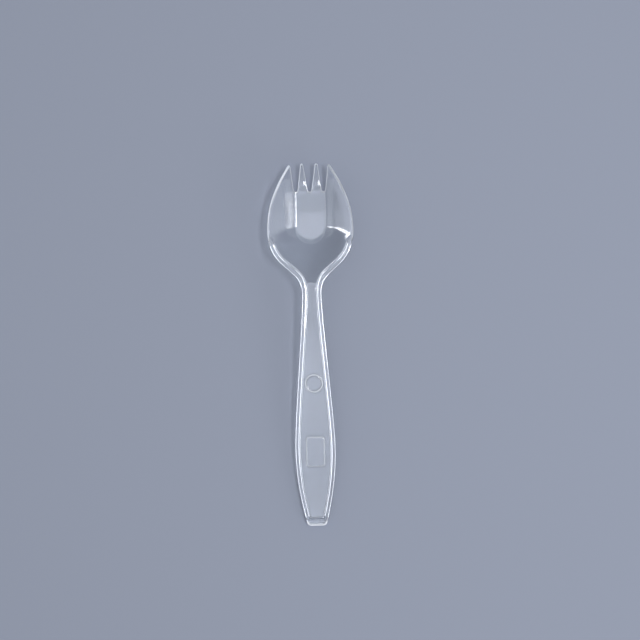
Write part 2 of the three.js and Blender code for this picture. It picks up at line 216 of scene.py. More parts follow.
END_TURNS = (0.0, 15.0, 30.0, 45.0, 60.0, 72.0)  # round the end wall's lower inner edge
SIDE_ROWS = 5
END_POINTS = 20
END_CORNER_POINTS = 12
OUTER_TIP_POINTS = 10
SIDE_SLOT_POINTS = 15
TINE_TIP_POINTS = 13
MIDDLE_SLOT_POINTS = 8
UNDER_ROW_POINTS = 16
CREASE_POINTS = 15
FLOOR_BACK_POINTS = 46
RING_POINTS = 73
PAD_CORNER_POINTS = 9

# Places of the skin's lines beside a form, in shares of a rib's draft or in millimetres
RIB_FACE_SHARES = (-1.6, -1.0, -0.5, -0.2, 0.1, 0.4, 0.7, 0.9, 1.0, 1.1, 1.3, 1.7)
END_FACE_SHARES = (-0.7, -0.3, 0.0, 0.25, 0.5, 0.75, 1.0, 1.3, 1.7)
CREASE_SHIFTS = (-0.2, 0.0, 0.2)
RIDGE_SHIFTS = (-0.14, 0.0, 0.14)
FLOOR_EDGE_SHIFTS = (0.0, 0.1, 0.2, 0.35)
SHOULDER_SHIFTS = (-0.3, -0.1, 0.1, 0.3, 0.6)


def blend(start, end, share):
    """The start at share 0 and the end at share 1"""
    return start + (end - start) * share


def ramp(value, start, end):
    """0 at the start and 1 at the end, easing out of one and into the other"""
    share = np.clip((value - start) / (end - start), 0, 1)
    return share * share * (3 - 2 * share)


def soft_step(value):
    """0 below 0, 1 above 1, and straight between, with a wide bend at its foot and a tight one on top"""
    return (np.hypot(value, FOOT_BEND) - np.hypot(value - 1, TOP_BEND) + 1) / 2


def fillet(value, bend):
    """0 below 0 and straight above it, with the corner rounded off and its faint tail cut"""
    tail = 4 * bend
    return np.where(value > -tail, (value + np.hypot(value, bend)) / 2, 0)


def look_up(*points):
    """A cubic curve from the first of four points to the last, as a function of the distance along"""
    steps = 500
    share = np.linspace(0, 1, steps)[:, None]
    first, second, third, last = (np.array(point, float) for point in points)
    rest = 1 - share
    curve = (
        rest**3 * first
        + 3 * rest**2 * share * second
        + 3 * rest * share**2 * third
        + share**3 * last
    )
    return lambda along: np.interp(along, curve[:, 0], curve[:, 1])


# Outline, seen from above: each curve has its two ends and, between them, two points that pull it
grip_outline = look_up(
    (0, END_WIDTH / 2),
    (GRIP_CENTRE * 0.36, END_WIDTH / 2 + GRIP_CENTRE * 0.36 * END_SLOPE),
    (GRIP_CENTRE * 0.66, GRIP_WIDTH / 2),
    (GRIP_CENTRE, GRIP_WIDTH / 2),
)
shank_outline = look_up(
    (GRIP_CENTRE, GRIP_WIDTH / 2),
    (blend(GRIP_CENTRE, NECK_AT, 0.21), GRIP_WIDTH / 2),
    (blend(GRIP_CENTRE, NECK_AT, 0.81), NECK_WIDTH / 2),
    (NECK_AT, NECK_WIDTH / 2),
)
back_outline = look_up(
    (NECK_AT, NECK_WIDTH / 2),
    (blend(NECK_AT, WIDEST_AT, 0.42), NECK_WIDTH / 2),
    (blend(NECK_AT, WIDEST_AT, 0.36), BOWL_WIDTH / 2),
    (WIDEST_AT, BOWL_WIDTH / 2),
)
front_outline = look_up(
    (WIDEST_AT, BOWL_WIDTH / 2),
    (blend(WIDEST_AT, FULL_LENGTH, 0.31), BOWL_WIDTH / 2),
    (blend(WIDEST_AT, FULL_LENGTH, 0.58), TIP_WIDTH / 2 + (FULL_LENGTH - WIDEST_AT) * 0.42 * TIP_SLOPE),
    (FULL_LENGTH, TIP_WIDTH / 2),
)

# Side view: the handle climbs to the neck, and the rim rises to a crest and dips to the tips. The middle
# of such a curve is an eighth of each end and three eighths of each point between, and sets the crest.
lift_line = look_up(
    (REST_LENGTH, 0),
    (blend(REST_LENGTH, NECK_AT, 0.3), NECK_LIFT * 0.09),
    (blend(REST_LENGTH, NECK_AT, 0.78), NECK_LIFT * 0.82),
    (NECK_AT, NECK_LIFT),
)
rim_start = NECK_LIFT + NECK_RIB_DEPTH
rim_crest = (BOWL_RIM_HEIGHT - 0.125 * (rim_start + TIP_RIM_HEIGHT)) / 0.75
rim_line = look_up(
    (NECK_AT, rim_start),
    (blend(NECK_AT, FULL_LENGTH, 0.22), rim_crest),
    (blend(NECK_AT, FULL_LENGTH, 0.73), rim_crest),
    (FULL_LENGTH, TIP_RIM_HEIGHT),
)


def outline_at(along):
    """Half width, before the corners of the handle's end are rounded"""
    places = [along >= WIDEST_AT, along >= NECK_AT, along >= GRIP_CENTRE]
    widths = [front_outline(along), back_outline(along), shank_outline(along)]
    return np.select(places, widths, grip_outline(along))


def half_width_at(along):
    """Distance of the outline from the middle line"""
    corner = np.maximum(0, END_CORNER_RADIUS - along)
    cut = END_CORNER_RADIUS - np.sqrt(END_CORNER_RADIUS**2 - corner**2)
    return outline_at(along) - cut


def lean_at(along):
    """How much the outline leans: the change of its half width for each millimetre along"""
    reach = 0.5
    low = np.maximum(along - reach, 0)
    high = np.minimum(along + reach, FULL_LENGTH)
    return np.abs(outline_at(high) - outline_at(low)) / (high - low)


def lift_at(along):
    """Height of the handle's underside above the table"""
    return np.where(along <= REST_LENGTH, 0, lift_line(along))


def rim_top_at(along):
    """Height of the ribs' top and of the bowl's rim"""
    handle = lift_at(along) + blend(END_RIB_DEPTH, NECK_RIB_DEPTH, along / NECK_AT)
    return np.where(along >= NECK_AT, rim_line(along), handle)


def rib_share_at(along):
    """1 where a rib runs along the rim, and 0 in front of it"""
    return 1 - ramp(along, RIB_END - RIB_FADE, RIB_END)


def front_share_at(along):
    """Share of the way from the widest place of the bowl to the tips"""
    return np.clip((along - WIDEST_AT) / (FULL_LENGTH - WIDEST_AT), 0, 1)


def rib_width_at(along):
    """Width of the rib, measured square to the outline"""
    return blend(RIB_WIDTH, SHOULDER_RIB_WIDTH, np.minimum(1, lean_at(along)) * (along > NECK_AT))


def foot_at(along):
    """Distance of the rib's inner foot from the middle line"""
    land = blend(RIM_LAND, TIP_LAND, front_share_at(along))
    width = blend(land, rib_width_at(along), rib_share_at(along))
    return half_width_at(along) - width * np.hypot(1, lean_at(along)) - RIB_DRAFT


def under_round_at(along):
    """Radius of the lower outer edge: the whole underside of a rib is one half round"""
    rim = blend(RIM_UNDER_ROUND, TIP_UNDER_ROUND, front_share_at(along))
    return blend(rim, rib_width_at(along) / 2, rib_share_at(along))


def step_at(along):
    """Height of the rim above the bed at its foot"""
    return blend(LAND_RISE, WEB_RECESS, rib_share_at(along))


def wall_at(along):
    """Thickness of the bowl and the tines"""
    return blend(WALL, TIP_WALL, np.clip((along - SLOT_ROOT) / TINE_LENGTH, 0, 1))


def floor_at(along):
    """Level at first, then an arc that climbs to the tines"""
    run = np.maximum(0, along - CLIMB_START)
    reach = FULL_LENGTH - CLIMB_START
    radius = (reach**2 + TINE_RISE**2) / (2 * TINE_RISE)
    return wall_at(along) + radius - np.sqrt(radius**2 - run**2)


def crease_at(across, along):
    """Where the web turns down into the bowl"""
    return HANDLE_LENGTH - CREASE_BOW * (across / foot_at(along)) ** 2


def bowl_at(across, along):
    """Upper face of the bowl: a flat floor with a half-round back, and walls that climb from it"""
    behind = np.maximum(0, FLOOR_ARC_CENTRE - along)
    from_centre = np.hypot(across, behind)
    from_floor = np.maximum(0, from_centre - FLOOR_HALF)
    from_rib = np.maximum(0, foot_at(along) - across)
    from_neck = np.maximum(0, along - crease_at(across, along))
    spread = np.cbrt(from_rib**3 + from_neck**3)
    from_rim = from_rib * from_neck / np.maximum(spread, TINY)
    turned = (behind / np.maximum(from_centre, TINY)) ** 2
    width = blend(SIDE_SHOULDER, BACK_SHOULDER, turned)
    rise = blend(SIDE_SHOULDER_RISE, BACK_SHOULDER_RISE, turned)
    on_border = fillet(from_floor - SIDE_BEND / 2, SIDE_BEND / 2)
    on_wall = fillet(from_floor - width, blend(SIDE_BEND, BACK_BEND, turned))
    climb = rise * on_border + (1 - rise) * on_wall
    share = np.where(from_floor > 0, climb / np.maximum(climb + from_rim, TINY), 0)
    return blend(floor_at(along), rim_top_at(along) - step_at(along), share)


def web_at(across, along):
    """Upper face of the web, a little dished between the end wall and the neck"""
    recess = WEB_RECESS * soft_step((along - END_WALL_LENGTH) / RIB_DRAFT)
    dished = ramp(along, END_WALL_LENGTH, END_WALL_LENGTH + DISH_RUN_IN)
    open_share = dished * (1 - ramp(along, NECK_AT - DISH_RUN_OUT, NECK_AT))
    dish = WEB_DISH * open_share * (1 - (across / foot_at(along)) ** 2)
    return rim_top_at(along) - recess - dish


def ridge_at(across, along):
    """Low ridge down the middle of each inner tine, with a soft crown"""
    narrowest = 0.1
    half = blend(TINE_CENTRE - MIDDLE_SLOT_RADIUS, TINE_TIP_RADIUS, (along - SLOT_ROOT) / TINE_LENGTH)
    offset = np.hypot(across - TINE_CENTRE, RIDGE_CROWN) - RIDGE_CROWN
    roof = np.maximum(0, 1 - offset / np.maximum(half, narrowest))
    return TINE_RIDGE * roof * ramp(along, SLOT_ROOT, SLOT_ROOT + RIDGE_RUN_IN)


def ring_at(across, along):
    """Height of the raised ring above the web"""
    radius = np.hypot(across, along - RING_CENTRE)
    within = np.clip((RING_RADIUS - radius) / RING_SLANT, 0, 1)
    beyond = np.clip((radius - RING_RADIUS + RING_LINE) / RING_SLANT, 0, 1)
    return MARK_HEIGHT * np.minimum(within, beyond)


def pad_reach(across, along):
    """Distance outside the pad's outline, negative on the pad"""
    beyond_x = np.abs(across) - (PAD_WIDTH / 2 - PAD_CORNER)
    beyond_y = np.abs(along - PAD_CENTRE) - (PAD_LENGTH / 2 - PAD_CORNER)
    corner = np.hypot(np.maximum(beyond_x, 0), np.maximum(beyond_y, 0))
    return corner + np.minimum(np.maximum(beyond_x, beyond_y), 0) - PAD_CORNER


def pad_at(across, along):
    """Height of the raised pad above the web"""
    return MARK_HEIGHT * np.clip(-pad_reach(across, along) / MARK_HEIGHT, 0, 1)


def bed_at(across, along):
    """Upper face inside the ribs: the handle's web with its marks, or the bowl with its tine ridges"""
    web = web_at(across, along) + ring_at(across, along) + pad_at(across, along)
    bowl = bowl_at(across, along) + ridge_at(across, along)
    return np.where(along > BOWL_BEGINS, bowl, web)


def upper_face(across, along):
    """The bed, and the slanted face that climbs from it to the top of the rib"""
    across = np.abs(across)
    foot = foot_at(along)
    bed = bed_at(np.minimum(across, foot), along)
    share = soft_step((across - foot) / RIB_DRAFT)
    return blend(bed, rim_top_at(along), share)


def under_bed_at(across, along):
    """Lower face inside the ribs, one wall thickness below the upper one and square to its slope"""
    opened = soft_step((along - END_WALL_LENGTH) / RIB_DRAFT)
    web = blend(lift_at(along), rim_top_at(along) - WEB_RECESS - WEB_THICKNESS, opened)
    reach = 0.2
    here = bowl_at(across, along)
    settled = ramp(along, BOWL_BEGINS, BOWL_BEGINS + UNDER_BLEND)
    climb_along = (here - bowl_at(across, along + reach)) / reach
    climb_across = (here - bowl_at(np.maximum(0, across - reach), along)) / reach
    thickness = blend(WEB_THICKNESS, wall_at(along), settled)
    square = np.sqrt(1 + (climb_along**2 + climb_across**2) * settled)
    return np.where(along > BOWL_BEGINS, here - thickness * square, web)


def rib_bottom_at(along):
    """Lowest line of the rib, which stays deep round the bowl's back and thins to the rim in front"""
    thinned = ramp(along, WIDEST_AT - DEEP_SETBACK, WIDEST_AT - SHALLOW_SETBACK)
    depth = blend(NECK_RIB_DEPTH, RIM_DEPTH, thinned)
    behind_bowl = np.minimum(rim_top_at(along) - depth, under_bed_at(foot_at(along), along))
    return np.where(along <= NECK_AT, lift_at(along), behind_bowl)


def rib_inset(across, along):
    """Distance in from the outline, square to it"""
    return (half_width_at(along) - across) / np.hypot(1, lean_at(along))


def end_round_at(along):
    """Rounding of the end wall's lower inner edge"""
    radius = RIB_WIDTH / 2
    beyond = np.clip((along - END_WALL_LENGTH) / radius + 1, 0, 1)
    return radius * (1 - np.sqrt(1 - beyond**2))


def lower_face(across, along):
    """The ribs' half rounds, and between them the underside of the web or the bowl

    A half round would end upright, so its last stretch runs up to the bed at a slope instead.
    """
    last_stretch = 0.98
    slope_up = 3
    across = np.abs(across)
    bed = under_bed_at(np.minimum(across, foot_at(along)), along)
    bottom = rib_bottom_at(along)
    radius = under_round_at(along)
    beyond = np.clip((rib_inset(across, along) - radius) / radius, 0, 1)
    run_up = slope_up * np.maximum(0, beyond - last_stretch)
    half_round = bottom + radius * (1 - np.sqrt(1 - beyond**2)) + run_up
    met = np.where(beyond >= 1, bed, np.minimum(bed, half_round))
    end_share = soft_step((along - END_WALL_LENGTH) / RIB_DRAFT)
    return blend(bottom + end_round_at(along), met, end_share)


def arc(centre, radius, start, end, count):
    """Points on an arc, with its angles in degrees"""
    x, y = centre
    turns = np.radians(np.linspace(start, end, count))
    return [(x + radius * math.cos(turn), y + radius * math.sin(turn)) for turn in turns]


def straight(start, end):
    """Points from one place to another, both ends left out"""
    count = max(2, round(math.dist(start, end) / RIM_STEP))
    return [tuple(blend(np.array(start), np.array(end), k / count)) for k in range(1, count)]


def right_outline():
    """Half of the outline, from the middle of the handle's end round to the root of the middle slot"""
    lean = math.atan(TIP_SLOPE)
    outer_y = OUTER_TIP - OUTER_TIP_RADIUS
    touch = outer_y + OUTER_TIP_RADIUS * math.sin(lean)
    outer_x = float(half_width_at(touch)) - OUTER_TIP_RADIUS * math.cos(lean)
    end_half = END_WIDTH / 2 - END_CORNER_RADIUS
    points = [(x, 0.0) for x in np.linspace(0, end_half, END_POINTS, endpoint=False)]
    for turn in np.radians(np.linspace(0, 90, END_CORNER_POINTS, endpoint=False)):
        along = END_CORNER_RADIUS * (1 - math.cos(turn))
        cut = END_CORNER_RADIUS * (1 - math.sin(turn))
        points.append((float(outline_at(along)) - cut, along))
    side_count = round(touch / RIM_STEP * SLANT_ALLOWANCE)
    sides = np.linspace(END_CORNER_RADIUS, touch, side_count, endpoint=False)
    points += [(float(half_width_at(along)), float(along)) for along in sides]
    side_root = (SIDE_SLOT_CENTRE, SLOT_ROOT + SIDE_SLOT_RADIUS)
    middle_root = (0.0, SLOT_ROOT + MIDDLE_SLOT_RADIUS)
    tip = (TINE_CENTRE, FULL_LENGTH - TINE_TIP_RADIUS)
    bends = [
        arc((outer_x, outer_y), OUTER_TIP_RADIUS, math.degrees(lean), 180, OUTER_TIP_POINTS),
        arc(side_root, SIDE_SLOT_RADIUS, 0, -180, SIDE_SLOT_POINTS),
        arc(tip, TINE_TIP_RADIUS, 0, 180, TINE_TIP_POINTS),
        arc(middle_root, MIDDLE_SLOT_RADIUS, 0, -90, MIDDLE_SLOT_POINTS),
    ]
    points += bends[0]
    for before, after in zip(bends, bends[1:]):
        points += straight(before[-1], after[0]) + after
    return points


def whole_outline():
    """The outline as a closed loop, anticlockwise from the middle of the handle's end"""
    right = right_outline()
    left = [(-x, y) for x, y in right[1:-1]]
    return np.array(right + left[::-1])


def inward_normals(loop):
    """The direction square to the loop and into it, at each of its points"""
    ahead = np.roll(loop, -1, axis=0) - loop
    behind = loop - np.roll(loop, 1, axis=0)
    ahead /= np.linalg.norm(ahead, axis=1)[:, None]
    behind /= np.linalg.norm(behind, axis=1)[:, None]
    heading = ahead + behind
    heading /= np.linalg.norm(heading, axis=1)[:, None]
    return np.column_stack([-heading[:, 1], heading[:, 0]])


def inside(points, loop):
    """Which points lie inside a closed loop"""
    within = np.zeros(len(points), bool)
    x, y = points[:, 0], points[:, 1]
    for (x0, y0), (x1, y1) in zip(loop, np.roll(loop, -1, axis=0)):
        if y0 == y1:
            continue
        crosses = (y0 > y) != (y1 > y)
        within ^= crosses & (x < x0 + (y - y0) / (y1 - y0) * (x1 - x0))
    return within


def near(points, others, reach):
    """Which points have one of the others within reach"""
    tree = kdtree.KDTree(len(others))
    for index, (x, y) in enumerate(others):
        tree.insert((x, y, 0), index)
    tree.balance()
    return np.array([tree.find((x, y, 0))[2] < reach for x, y in points])


def both_sides(offset, steps):
    """A line along the spork and its mirror image"""
    return [np.column_stack([side * offset, steps]) for side in (-1, 1)]


def under_lines():
    """Lines round the inner half of each rib's underside, and across the end wall's lower edge"""
    lines = []
    steps = np.arange(END_WALL_LENGTH, FULL_LENGTH, LINE_STEP)
    for turn in np.radians(UNDER_TURNS[1:]):
        inset = under_round_at(steps) * (1 + math.sin(turn))
        lines += both_sides(half_width_at(steps) - inset * np.hypot(1, lean_at(steps)), steps)
    reach = END_WIDTH / 2 - RIB_WIDTH
    row = np.linspace(-reach, reach, UNDER_ROW_POINTS)
    for turn in np.radians(END_TURNS):
        place = END_WALL_LENGTH - RIB_WIDTH / 2 * (1 - math.sin(turn))
        lines.append(np.column_stack([row, np.full_like(row, place)]))
    return lines


def upper_lines():
    """Lines along the inner face of each rib, along the tines' ridges and round the marks"""
    lines = []
    steps = np.arange(END_WALL_LENGTH, FULL_LENGTH, LINE_STEP)
    for share in RIB_FACE_SHARES:
        lines += both_sides(foot_at(steps) + share * RIB_DRAFT, steps)
    ridge = np.arange(SLOT_ROOT + ROOT_MARGIN, FULL_LENGTH - TIP_MARGIN, LINE_STEP)
    for shift in RIDGE_SHIFTS:
        lines += both_sides(np.full_like(ridge, TINE_CENTRE + shift), ridge)
    turn = np.radians(np.linspace(0, 360, RING_POINTS))
    for inset in (-MARK_MARGIN, RING_SLANT, RING_LINE - RING_SLANT, RING_LINE + MARK_MARGIN):
        radius = RING_RADIUS - inset
        lines.append(np.column_stack([radius * np.cos(turn), RING_CENTRE + radius * np.sin(turn)]))
    for inset in (-MARK_MARGIN, MARK_HEIGHT):
        lines.append(pad_line(inset))
    return lines


def end_wall_lines():
    """Lines across the inner face of the end wall"""
    reach = float(foot_at(END_WALL_LENGTH))
    row = np.linspace(-reach, reach, END_POINTS)
    places = [END_WALL_LENGTH + share * RIB_DRAFT for share in END_FACE_SHARES]
    return [np.column_stack([row, np.full_like(row, place)]) for place in places]


def crease_lines():
    """Lines along the bowed crease between web and bowl"""
    reach = float(foot_at(HANDLE_LENGTH))
    row = np.linspace(-reach, reach, CREASE_POINTS)
    crease = crease_at(row, np.full_like(row, HANDLE_LENGTH))
    return [np.column_stack([row, crease + shift]) for shift in CREASE_SHIFTS]


def floor_lines():
    """Lines down both sides of the bowl's floor and round its back, at its edge and its border's"""
    turn = np.radians(np.linspace(0, -180, FLOOR_BACK_POINTS))
    edge = np.full_like(turn, FLOOR_HALF)
    border = edge + blend(SIDE_SHOULDER, BACK_SHOULDER, np.sin(turn) ** 2)
    radii = [edge + shift for shift in FLOOR_EDGE_SHIFTS]
    radii += [border + shift for shift in SHOULDER_SHIFTS]
    down = np.arange(SLOT_ROOT - ROOT_MARGIN, FLOOR_ARC_CENTRE, -LINE_STEP)
    lines = []
    for radius in radii:
        side = np.column_stack([np.full_like(down, radius[0]), down])
        other_side = (side * (-1, 1))[::-1]
        round_back = np.column_stack([radius * np.cos(turn), FLOOR_ARC_CENTRE + radius * np.sin(turn)])
        lines.append(np.vstack([side, round_back, other_side]))
    return lines


def bed_lines():
    """Lines that both faces follow: the end wall, the crease at the neck and the bowl's floor"""
    return end_wall_lines() + crease_lines() + floor_lines()


def pad_line(inset):
    """The pad's outline, moved inwards"""
    half_x = PAD_WIDTH / 2 - PAD_CORNER
    half_y = PAD_LENGTH / 2 - PAD_CORNER
    quarter = 90
    points = []
    for turn, (x, y) in enumerate([(1, 1), (-1, 1), (-1, -1), (1, -1)]):
        centre = (x * half_x, PAD_CENTRE + y * half_y)
        start = quarter * turn
        points += arc(centre, PAD_CORNER - inset, start, start + quarter, PAD_CORNER_POINTS)
    points.append(points[0])
    dense = []
    for start, end in zip(points, points[1:]):
        dense.append(start)
        if math.dist(start, end) > RIM_STEP:
            dense += straight(start, end)
    dense.append(points[-1])
    return np.array(dense)


def add_lines(places, edges, ring, lines):
    """Adds the stretches of the lines that lie well inside the ring, and returns their places"""
    guides = []
    for line in lines:
        kept = inside(line, ring) & ~near(line, ring, LINE_CLEARANCE)
        last = None
        for place, keep in zip(line, kept):
            if not keep:
                last = None
                continue
            guides.append(place)
            places.append(tuple(place))
            if last is not None:
                edges.append((last, len(places) - 1))
            last = len(places) - 1
    return guides


def even_grid(ring, guides):
    """Places on an even grid inside the ring, clear of it and of the lines"""
    rows = np.arange(0, FULL_LENGTH, GRID_STEP * GRID_ROW_SHARE)
    reach = math.ceil(BOWL_WIDTH / 2 / GRID_STEP)
    columns = np.arange(-reach, reach + 1) * GRID_STEP
    grid = np.array([(x + GRID_STEP / 2 * (k % 2), y) for k, y in enumerate(rows) for x in columns])
    grid = grid[inside(grid, ring)]
    grid = grid[~near(grid, ring, GRID_STEP * RIM_CLEAR_SHARE)]
    return grid[~near(grid, guides, GRID_STEP * LINE_CLEAR_SHARE)]


def plan_mesh(ring, lines):
    """Places and triangles inside the ring, along the lines and on an even grid between them

    With them comes the number of the ring's point for each place that is one.
    """
    places = [tuple(place) for place in ring]
    edges = [(k, (k + 1) % len(ring)) for k in range(len(ring))]
    guides = add_lines(places, edges, ring, lines)
    places += [tuple(place) for place in even_grid(ring, guides)]
    found = delaunay_2d_cdt([Vector(place) for place in places], edges, [], 1, MERGE_REACH)
    from_ring = {}
    for index, sources in enumerate(found[3]):
        for source in sources:
            if source < len(ring):
                from_ring[index] = source
    return np.array([tuple(place) for place in found[0]]), found[2], from_ring


def nib_push(across, height):
    """How far the broken-off gate stands out of the handle's end"""
    gap = np.hypot(across - NIB_OFFSET, height - END_RIB_DEPTH / 2)
    return NIB_REACH * (1 - ramp(gap, NIB_RADIUS * NIB_FLAT_SHARE, NIB_RADIUS))


def mark_painted_highlight_at(across, along):
    """How much painted highlight the ring and the border of the pad carry: white scattering there stands
    in for their glints
    """
    border = pad_reach(across, along)
    on_border = (border < MARK_EDGE) & (border > -PAD_BORDER)
    on_ring = ring_at(across, along) > MARK_HEIGHT / 2
    return np.where(on_ring, RING_PAINTED_HIGHLIGHT, np.where(on_border, PAD_PAINTED_HIGHLIGHT, 0))


class Skin:
    """Corners in millimetres and faces of the whole spork

    Each corner also has its share of painted highlight, and a 1 if it is at the rim or a 0 if it is not.
    """

    def __init__(self, outline):
        self.outline = outline
        self.inward = inward_normals(outline)
        self.at_end = ramp(outline[:, 1], END_WALL_LENGTH, END_CORNER_RADIUS)
        self.edge_painted_highlight = np.maximum(EDGE_PAINTED_HIGHLIGHT * (1 - rib_share_at(outline[:, 1])), self.at_end)
        self.corners = []
        self.faces = []
        self.painted_highlight = []
        self.rim = []

    def add_ring(self, places, heights, share):
        """A ring of corners at the rim, with a share of its painted highlight"""
        start = len(self.corners)
        self.corners.extend(zip(places[:, 0], places[:, 1], heights))
        self.painted_highlight.extend(self.edge_painted_highlight * share)
        self.rim.extend([1.0] * len(places))
        return list(range(start, len(self.corners)))

    def round_edge(self, face, radius, turns, sign):
        """Rings over a rounded edge, from the side in, and the outline of the face inside them

        The sign is -1 at the upper edge and 1 at the lower one. At the handle's end the upper edge
        carries
            the painted highlight all the way.
        """
        ends = self.outline + self.inward * radius[:, None]
        level = face(ends[:, 0], ends[:, 1])
        rings = []
        for turn in np.radians(turns):
            places = self.outline + self.inward * (radius * (1 - math.cos(turn)))[:, None]
            drop = radius * (1 - math.sin(turn))
            # painted highlight over the outer turn of the rounding, fading after it
            share = 1 - ramp(turn, PAINTED_HIGHLIGHT_TURN, PAINTED_HIGHLIGHT_TURN + PAINTED_HIGHLIGHT_FADE)
            if sign < 0:
                share = np.maximum(share, self.at_end)
            rings.append(self.add_ring(places, level + sign * drop, share))
        return rings, ends

    def side_rings(self, above, below):
        """Rings down the side between two others, with the broken-off gate in the handle's end"""
        top = np.array([self.corners[k][2] for k in above])
        bottom = np.array([self.corners[k][2] for k in below])
        on_end_face = (self.outline[:, 1] < TINY).astype(float)
        rings = []
        for row in range(1, SIDE_ROWS + 1):
            height = blend(top, bottom, row / (SIDE_ROWS + 1))
            push = nib_push(self.outline[:, 0], height) * on_end_face
            places = self.outline - np.column_stack([np.zeros_like(push), push])
            rings.append(self.add_ring(places, height, 1))
        return rings

    def join(self, rings):
        """Faces between each ring and the next"""
        count = len(self.outline)
        for above, below in zip(rings, rings[1:]):
            for k in range(count):
                following = (k + 1) % count
                self.faces.append((above[k], below[k], below[following], above[following]))

    def cap(self, face, ring, inner, lines, under):
        """Fills a ring with the form of the upper face, or of the one under it, which looks down"""
        plan, triangles, from_ring = plan_mesh(inner, lines)
        heights = face(plan[:, 0], plan[:, 1])
        # the ring and the pad's border carry a painted highlight, on the upper face only
        marks = mark_painted_highlight_at(plan[:, 0], plan[:, 1])
        corner_of = {}
        for index, (x, y) in enumerate(plan):
            if index in from_ring:
                corner_of[index] = ring[from_ring[index]]
                continue
            corner_of[index] = len(self.corners)
            self.corners.append((x, y, heights[index]))
            self.painted_highlight.append(0 if under else marks[index])
            self.rim.append(0.0)
        for triangle in triangles:
            corners = [corner_of[k] for k in triangle]
            self.faces.append(tuple(corners[::-1]) if under else tuple(corners))


def spork_skin():
    """The closed skin: two rounded edges with the sides between them, and the two faces"""
    outline = whole_outline()
    skin = Skin(outline)
    upper_round = np.full(len(outline), EDGE_ROUND)
    under_round = under_round_at(outline[:, 1])
    upper, upper_inner = skin.round_edge(upper_face, upper_round, UPPER_TURNS, -1)
    lower, lower_inner = skin.round_edge(lower_face, under_round, UNDER_TURNS, 1)
    sides = skin.side_rings(upper[0], lower[0])
    skin.join(upper[::-1] + sides + lower)
    skin.cap(upper_face, upper[-1], upper_inner, bed_lines() + upper_lines(), False)
    skin.cap(lower_face, lower[-1], lower_inner, bed_lines() + under_lines(), True)
    return skin


def make_spork(material):
    """The one piece, set where the solid is"""
    skin = spork_skin()
    low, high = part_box("spork")
    shift = Vector(((low.x + high.x) / 2, low.y + NIB_REACH * MM, low.z))
    mesh = bpy.data.meshes.new("spork_skin")
    mesh.from_pydata([Vector(corner) * MM + shift for corner in skin.corners], [], skin.faces)
    # the share of painted highlight and the rim's mark, kept on the mesh for the material
    for name, values in (("painted_highlight", skin.painted_highlight), ("rim", skin.rim)):
        mesh.attributes.new(name, "FLOAT", "POINT").data.foreach_set("value", values)
    mesh.update()
    mesh.shade_smooth()
    spork = bpy.data.objects.new("spork_skin", mesh)
    bpy.context.scene.collection.objects.link(spork)
    spork.data.materials.append(material)
    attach(spork, "root")
    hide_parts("spork")


def feed(tree, socket, value):
    """Sets a socket to a value, or links it where the value is another node's output"""
    if isinstance(value, bpy.types.NodeSocket):
        tree.links.new(value, socket)
    else:
        socket.default_value = value


def add_node(tree, kind, inputs):
    """A new node, fed with values or links by the names of its sockets"""
    node = tree.nodes.new(kind)
    for name, value in inputs.items():
        feed(tree, node.inputs[name], value)
    return node


def mix(tree, kind, share, first, second):
    """Turns a number (FLOAT) or a colour (RGBA) from the first to the second"""
    node = tree.nodes.new("ShaderNodeMix")
    node.data_type = kind
    for name, value in (("Factor", share), ("A", first), ("B", second)):
        feed(tree, node.inputs[name], value)
    return node.outputs["Result"]


def mix_shaders(tree, share, first, second):
    """Turns a surface from the first to the second"""
    node = tree.nodes.new("ShaderNodeMixShader")
    for socket, value in zip(node.inputs, (share, first, second)):
        feed(tree, socket, value)
    return node.outputs["Shader"]


def corner_value(tree, name):
    """A number that the mesh holds for each corner"""
    node = tree.nodes.new("ShaderNodeAttribute")
    node.attribute_name = name
    return node.outputs["Fac"]


def rippled_plastic(tree):
    """Clear polystyrene, whose gloss and surface ripple a little along the flow of the moulding"""
    place = tree.nodes.new("ShaderNodeTexCoord").outputs["Object"]
    stretch = add_node(tree, "ShaderNodeMapping", {"Vector": place, "Scale": (260, 60, 260)})
    along_flow = stretch.outputs["Vector"]
    flow = add_node(tree, "ShaderNodeTexNoise", {"Vector": along_flow, "Scale": 1.0, "Detail": 2.0})
    waves = flow.outputs["Fac"]
    gloss = add_node(tree, "ShaderNodeMapRange", {"Value": waves, "To Min": 0.02, "To Max": 0.07})
    ripple = add_node(tree, "ShaderNodeBump", {"Height": waves, "Strength": 0.05, "Distance": 0.0004})
    plastic = tree.nodes["Principled BSDF"]
    settings = {
        "Base Color": CLEAR,
        "Transmission Weight": 1.0,
        "IOR": 1.59,
        "Roughness": gloss.outputs["Result"],
        "Normal": ripple.outputs["Normal"],
    }
    for name, value in settings.items():
        feed(tree, plastic.inputs[name], value)
    return plastic.outputs["BSDF"]


def table_shade(tree):
    """What the plastic lets through to the table: less where its face is steep, and least at the rim"""
    slant = add_node(tree, "ShaderNodeLayerWeight", {"Blend": 0.35})
    face = mix(tree, "RGBA", slant.outputs["Facing"], FLAT_SHADE, STEEP_SHADE)
    return mix(tree, "RGBA", corner_value(tree, "rim"), face, RIM_SHADE)


